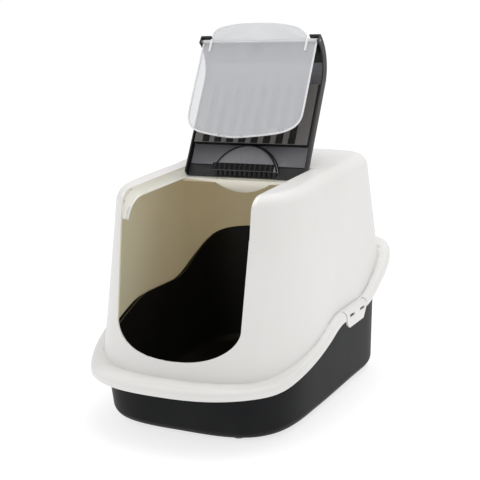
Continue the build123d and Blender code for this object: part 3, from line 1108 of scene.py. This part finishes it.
@dataclass
class TopLid:
    """The hinged lid with its filter cover, its filter and its ribs.

    Attributes:
        rib_count: Ribs in each of the two rows.
        rib_pitch: Their spacing.
        rib_middle: The x of the rows' middle.
        rib: A rib's box about its own x.
        rail: The rail that joins the upper ribs.
        bed: The bed of painted shade between them.
        rib_gap: Where the gaps between the lower ribs lie.
        rounding: Rounding of ribs, rail and bed.
        nose: The s and f of the round nose's centre.
        nose_round: The nose's inner radius.
        nose_slope: Ahead over below beyond which the nose is painted in shade, inside and out.
        outer: The f below which a face is outside.
        flange: The x between which a side flange's inner face lies.
        flange_side: The x beyond which a face is on the flange's outer side or an ear.
        strip_end: The s where the rear strip ends.
        dish: Half the width, lowest s and lowest f of the raised dish.
        line_half: Half the length of the straight lines of painted shade.
        lines: Name, s, f and radius of those lines.
        arches: Name, radius, f and bead of the lines round the dish.
        arch_middle: The s of their centre.
        arch_start: Where they start, in degrees above the x axis.
        arch_steps: The pieces they are made of.
        slot_count: The filter cover's slots.
        slot_width: Width of the filter cover's slots.
        slot_pitch: Their spacing.
        slot_shift: The x of the slots' middle.
        slot_foot: The s and f of the slots' dark feet, low and high.
        slot_rounding: Rounding of those feet.
    """

    rib_count: int = 12
    rib_pitch: float = 0.0094
    rib_middle: float = -0.004
    rib: Box = ((-0.0008, -0.0030, 0.0066), (0.0008, 0.0082, 0.0088))
    rail: Box = ((-0.0600, -0.0036, 0.0066), (0.0520, -0.0026, 0.0084))
    bed: Box = ((-0.0610, -0.0034, 0.0065), (0.0530, 0.0092, 0.00745))
    rib_gap: Box = ((-0.0575, -0.0126, -0.003), (0.0575, -0.0025, 0.0055))
    rounding: float = 0.0003
    nose: tuple[float, float] = (0.156, 0.062)
    nose_round: float = 0.0645
    nose_slope: float = 0.62
    outer: float = -0.0035
    flange: tuple[float, float] = (0.1070, 0.1085)
    flange_side: float = 0.1086
    strip_end: float = 0.0071
    dish: Triple = (0.0615, -0.0028, 0.0008)
    line_half: float = 0.107
    lines: tuple[tuple[str, float, float, float], ...] = (
        ("Lid_strip_shade_line", 0.0074, 0.0, 0.0010), ("Lid_upper_shade_line", 0.1530, -0.0004, 0.0016),
    )
    arches: tuple[tuple[str, float, float, float], ...] = (
        ("Lid_arch_foot_shade", 0.0630, 0.0002, 0.0013), ("Lid_arch_edge_shade", 0.0610, 0.0068, 0.0014),
    )
    arch_middle: float = -0.020
    arch_start: float = 16.0
    arch_steps: int = 24
    slot_count: int = 8
    slot_width: float = 0.013
    slot_pitch: float = 0.0227
    slot_shift: float = -0.0032
    slot_foot: tuple[tuple[float, float], tuple[float, float]] = ((0.0450, 0.0097), (0.0545, 0.01015))
    slot_rounding: float = 0.0001

    def is_rib_gap(self, centre: Vector, normal: Vector) -> bool:
        """Whether a face lies between the lower ribs.

        Args:
            centre: The face\'s middle.
            normal: Its normal.

        Returns:
            True if it does.
        """
        return between(LID.local(centre), *self.rib_gap) and abs(normal.x) < SIDEWAYS

    def is_strip(self, centre: Vector, normal: Vector) -> bool:
        """Whether a face belongs to the strip along the lid's rear edge.

        Args:
            centre: The face\'s middle.
            normal: Its normal.

        Returns:
            True if it does.
        """
        x, s, f = LID.local(centre)
        half, lowest_s, lowest_f = self.dish
        on_dish = abs(x) < half and s > lowest_s and f > lowest_f
        return s < self.strip_end and f > self.outer and not on_dish

    def is_flange_inside(self, centre: Vector, normal: Vector) -> bool:
        """Whether a face belongs to the inner side of a side flange.

        Args:
            centre: The face\'s middle.
            normal: Its normal.

        Returns:
            True if it does.
        """
        return self.flange[0] < abs(centre.x) < self.flange[1] and abs(normal.x) > SIDEWAYS

    def is_edge(self, centre: Vector, normal: Vector) -> bool:
        """Whether a face belongs to the outside, an ear, the side of a flange, or the upper nose, which all
        get the darker painted shade.

        Args:
            centre: The face\'s middle.
            normal: Its normal.

        Returns:
            True if it does.
        """
        x, s, f = LID.local(centre)
        if s > self.nose[0]:
            ahead, below = s - self.nose[0], self.nose[1] - f
            beyond = math.hypot(ahead, below) > self.nose_round or ahead > self.nose_slope * below
            return abs(x) > self.flange_side or beyond
        return abs(x) > self.flange_side or f < self.outer

    def faces_hinge(self, centre: Vector, normal: Vector) -> bool:
        """Whether a face looks towards the hinge.

        Args:
            centre: The face\'s middle.
            normal: Its normal.

        Returns:
            True if it does.
        """
        return (LID.matrix().to_3x3().transposed() @ normal).y < -FLAT

    def build(self) -> None:
        """Make the lid and what is fixed to it."""
        lid = carry_over("lid", "Lid_shell")
        lid.data.materials.append(material_of(LID_FACE))
        # Painted shade on the edges, the ears and the upper nose.
        paint(lid, LID_EDGE_SHADE, self.is_edge)
        paint(lid, LID_STRIP, self.is_strip)
        # Painted shade: black on the flanges' inner sides and between the lower ribs.
        paint(lid, LID_SHADE, self.is_flange_inside)
        paint(lid, LID_SHADE, self.is_rib_gap)
        dress(lid, LID_FACE, Slot.LID, Body.LID, "lid")
        cover = carry_over("filter_cover", "Filter_cover")
        cover.data.materials.append(material_of(LID_PLATE))
        # Painted shade on the cover's faces that look towards the hinge.
        paint(cover, LID_SHADE, self.faces_hinge)
        dress(cover, LID_PLATE, Slot.LID, Body.LID, "filter_cover")
        felt = carry_over("carbon_filter", "Filter_felt")
        dress(felt, FILTER_FELT, Slot.FILTER, Body.LID, "carbon_filter")
        self.build_ribs()
        self.build_shade_lines()

    def build_ribs(self) -> None:
        """Make the upper row of grip ribs on the dish's raised back, and a bed of painted shade between them.
        """
        frame = LID.matrix()
        low, high = self.rib
        ribs = []
        for index in range(self.rib_count):
            x = self.rib_middle + (index - (self.rib_count - 1) / 2) * self.rib_pitch
            corners = (x + low[0], *low[1:]), (x + high[0], *high[1:])
            ribs.append(rounded_box(f"rib_{index}", *corners, self.rounding, frame))
        ribs.append(rounded_box("rib_rail", *self.rail, self.rounding, frame))
        dress(join("Lid_upper_ribs", ribs), LID_STRIP, Slot.LID, Body.LID)
        # A near-black sheet under the ribs: painted shade in the recess.
        bed = rounded_box("Lid_rib_shade_bed", *self.bed, self.rounding, frame)
        dress(bed, LID_SHADE, Slot.LID, Body.LID)

    def build_shade_lines(self) -> None:
        """Make the lines of painted shade along the strip, above the filter and round the dish, and the
        slots' feet.
        """
        # Each line is a thin black bead: painted shade along a crease, under the nose or at the dish's edge.
        for name, s, f, bead in self.lines:
            line = [LID.point(x, s, f) for x in (-self.line_half, 0.0, self.line_half)]
            dress(tube(name, line, bead), LID_SHADE, Slot.LID, Body.LID)
        for name, radius, depth, bead in self.arches:
            arch = []
            for step in range(self.arch_steps + 1):
                angle = math.radians(self.arch_start + step * (180 - 2 * self.arch_start) / self.arch_steps)
                rise = self.arch_middle + radius * math.sin(angle)
                arch.append(LID.point(radius * math.cos(angle), rise, depth))
            dress(tube(name, arch, bead), LID_SHADE, Slot.LID, Body.LID)
        feet = []
        for index in range(self.slot_count):
            x = self.slot_shift + (index - (self.slot_count - 1) / 2) * self.slot_pitch
            low = (x - self.slot_width / 2, *self.slot_foot[0])
            high = (x + self.slot_width / 2, *self.slot_foot[1])
            feet.append(rounded_box(f"slot_{index}", low, high, self.slot_rounding, LID.matrix()))
        dress(join("Filter_slot_feet", feet), LID_SHADE, Slot.LID, Body.LID)


@dataclass
class SwingDoor:
    """The frosted door with its bright edge.

    Attributes:
        pivot_s: The pins' place along the lid.
        pivot_f: Their depth.
        half: Half the door's width.
        length: From the pins to the lower edge.
        bulge: How far the middle stands out at the lower edge.
        pin_bulge: The same at the pins.
        overrun: How far past the lower edge the bow is reckoned to.
        edge: The radius of the bright edge.
        edge_inset: How far above the sheet's end the bright edge's middle lies.
        tongue_angle: The bent tongue's angle, in degrees.
        tongue_reach: Its length in the middle.
        tongue_edge: The radius of its bright edge.
        fold: Half the length and the radius of the bright fold.
        clip: The inner and outer side of the clips that hold the pins.
        clip_low: The clips' lowest s and f, from the pins.
        clip_high: Their highest s and f.
        clip_rounding: Their rounding.
        corner: The right half of the sheet's outline, as x and distance below the pins.
        tongue: The right half of the tongue's outline, as x and distance from the pins.
    """

    pivot_s: float = 0.212
    pivot_f: float = 0.047
    half: float = 0.105
    length: float = 0.182
    bulge: float = 0.022
    pin_bulge: float = 0.0006
    overrun: float = 0.002
    edge: float = 0.0016
    edge_inset: float = 0.0005
    tongue_angle: float = 45.0
    tongue_reach: float = 0.0305
    tongue_edge: float = 0.0011
    fold: tuple[float, float] = (0.1045, 0.0031)
    clip: tuple[float, float] = (0.0862, 0.0904)
    clip_low: tuple[float, float] = (-0.020, 0.0018)
    clip_high: tuple[float, float] = (0.003, 0.0046)
    clip_rounding: float = 0.0012
    corner: tuple[tuple[float, float], ...] = (
        (0.1042, 0.004), (0.1042, 0.060), (0.1042, 0.127), (0.1030, 0.138), (0.0992, 0.148),
        (0.0913, 0.157), (0.0775, 0.1657), (0.0577, 0.1717), (0.0298, 0.1776),
    )
    tongue: tuple[tuple[float, float], ...] = (
        (0.0865, 0.0), (0.0865, 0.008), (0.0835, 0.014), (0.0755, 0.021), (0.0597, 0.026), (0.0358, 0.0296),
    )

    def on_sheet(self, x: float, drop: float) -> Vector:
        """A point in the middle of the bowed sheet.

        Args:
            x: Across the door.
            drop: Distance below the pins.

        Returns:
            The point in the row frame.
        """
        sag = self.pin_bulge + (self.bulge - self.pin_bulge) * drop / (self.length + self.overrun)
        bow = sag * (1 - (x / self.half) ** 2)
        return LID.point(x, self.pivot_s - drop, self.pivot_f + bow)

    def on_tongue(self, x: float, rise: float) -> Vector:
        """A point on the bent tongue.

        Args:
            x: Across the door.
            rise: Distance from the pins.

        Returns:
            The point in the row frame.
        """
        lift = rise * math.cos(math.radians(self.tongue_angle))
        return LID.point(x, self.pivot_s + lift, self.pivot_f + lift)

    def build(self) -> None:
        """Make the sheet, its bright edges, the fold and the clips."""
        sheet = carry_over("swing_door", "Door_sheet")
        dress(sheet, DOOR_SHEET, Slot.DOOR, Body.DOOR, "swing_door")
        right = [self.on_sheet(x, drop) for x, drop in self.corner]
        left = [self.on_sheet(-x, drop) for x, drop in reversed(self.corner)]
        rim = tube("Door_edge", [*right, self.on_sheet(0.0, self.length - self.edge_inset), *left], self.edge)
        dress(rim, DOOR_RIM, Slot.DOOR, Body.DOOR)
        right = [self.on_tongue(x, rise) for x, rise in self.tongue]
        left = [self.on_tongue(-x, rise) for x, rise in reversed(self.tongue)]
        middle = self.on_tongue(0.0, self.tongue_reach)
        lip = tube("Door_tongue_edge", [*right, middle, *left], self.tongue_edge)
        dress(lip, DOOR_RIM, Slot.DOOR, Body.DOOR)
        half, bead = self.fold
        line = [LID.point(x, self.pivot_s, self.pivot_f) for x in (-half, 0.0, half)]
        dress(tube("Door_fold", line, bead), DOOR_RIM, Slot.DOOR, Body.DOOR)
        for side in (-1, 1):
            near, far = sorted((side * self.clip[0], side * self.clip[1]))
            low = (near, self.pivot_s + self.clip_low[0], self.pivot_f + self.clip_low[1])
            high = (far, self.pivot_s + self.clip_high[0], self.pivot_f + self.clip_high[1])
            clip = rounded_box("Door_clip", low, high, self.clip_rounding, LID.matrix())
            clip.name = clip.data.name = f"Door_clip_{'left' if side < 0 else 'right'}"
            dress(clip, DOOR_CLIP, Slot.DOOR, Body.DOOR)


# ------------------------------------------------------------------------------------ studio
@dataclass
class Studio:
    """Floor, lights and camera.

    Attributes:
        eye: The camera's place in metres.
        azimuth: Its direction round the box, in degrees.
        elevation: Its height above the horizon, in degrees.
        roll: Its roll, in degrees.
        lens: The focal length in millimetres.
        sensor: The sensor's width in millimetres.
        surround: Strength of the light that comes from all round.
        backdrop: Brightness of the empty background.
        floor_size: The floor's width in metres.
        floor_light: The floor's own brightness.
    """

    eye: Triple = (0.8074, -1.5420, 0.6442)
    azimuth: float = 27.56
    elevation: float = 12.44
    roll: float = -1.9
    lens: float = 81.01
    sensor: float = 36.0
    surround: float = 0.72
    backdrop: float = 1.02
    floor_size: float = 14.0
    floor_light: float = 0.72

    def build(self) -> None:
        """Make floor, lights, background and camera."""
        self.floor()
        self.lights()
        self.camera()

    def floor(self) -> None:
        """Lay a plain white floor that fades into the background."""
        deselect()
        bpy.ops.mesh.primitive_plane_add(size=self.floor_size, location=(0, 0, 0))
        floor = bpy.context.object
        floor.name = "Studio_floor"
        graph = Surface("White floor")
        graph.set(
            Base_Color=graph.mix(graph.noise(3.0) * 0.05, (0.42, 0.42, 0.42), (0.40, 0.40, 0.40)),
            Roughness=0.9,
            Specular_IOR_Level=0.0,
            Emission_Color=(self.floor_light,) * 3,
            Emission_Strength=1.0,
        )
        floor.data.materials.append(graph.material)

    def lights(self) -> None:
        """Hang soft boxes above, at the left and at the right, and light a white surround."""
        world = bpy.data.worlds.new("White surround")
        bpy.context.scene.world = world
        world.use_nodes = True
        graph = Graph(world.node_tree)
        seen = graph.node("ShaderNodeLightPath", {}, {}, "Is Camera Ray")
        strength = graph.node(
            "ShaderNodeMapRange", {}, {"Value": seen, "To Min": self.surround, "To Max": self.backdrop}
        )
        background = world.node_tree.nodes["Background"]
        graph.feed(background.inputs["Color"], (1.0, 1.0, 1.0))
        graph.feed(background.inputs["Strength"], strength)
        for name, place, aim, size, power in (
            ("Top_box", (0.2, 0.5, 2.4), (0.0, 0.0, 0.2), 2.2, 25.0),
            ("Left_box", (-2.4, -0.3, 1.2), (0.0, 0.0, 0.25), 1.6, 4.0),
            ("Right_box", (2.4, 0.5, 1.6), (0.0, 0.0, 0.25), 1.6, 2.0),
        ):
            lamp = bpy.data.lights.new(name, "AREA")
            lamp.shape = "SQUARE"
            lamp.size = size
            lamp.energy = power
            holder = bpy.data.objects.new(name, lamp)
            holder.location = place
            holder.rotation_euler = (Vector(aim) - Vector(place)).to_track_quat("-Z", "Y").to_euler()
            bpy.context.scene.collection.objects.link(holder)

    def camera(self) -> None:
        """Set the camera at its place, turned and rolled."""
        az, el, roll = (math.radians(v) for v in (self.azimuth, self.elevation, self.roll))
        right = Vector((math.cos(az), math.sin(az), 0.0))
        ahead = Vector((-math.sin(az) * math.cos(el), math.cos(az) * math.cos(el), -math.sin(el)))
        up = right.cross(ahead)
        right_rolled = right * math.cos(roll) + up * math.sin(roll)
        up_rolled = up * math.cos(roll) - right * math.sin(roll)
        turn = Matrix((right_rolled, up_rolled, -ahead)).transposed().to_4x4()
        data = bpy.data.cameras.new("Camera")
        data.lens = self.lens
        data.sensor_width = self.sensor
        camera = bpy.data.objects.new("Camera", data)
        camera.matrix_world = Matrix.Translation(self.eye) @ turn
        bpy.context.scene.collection.objects.link(camera)
        bpy.context.scene.camera = camera
        bpy.context.scene.view_settings.view_transform = "Standard"


def main() -> None:
    """Build the litter box over its CAD frame."""
    logging.basicConfig(level=logging.INFO, format="%(message)s")
    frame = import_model()
    FRAME_NODES.update({node: piece.name for node, piece in frame["nodes"].items()})
    deselect()
    for part in (Tray(), Hood(), TopLid(), SwingDoor(), Studio()):
        part.build()


if __name__ == "__main__":
    main()
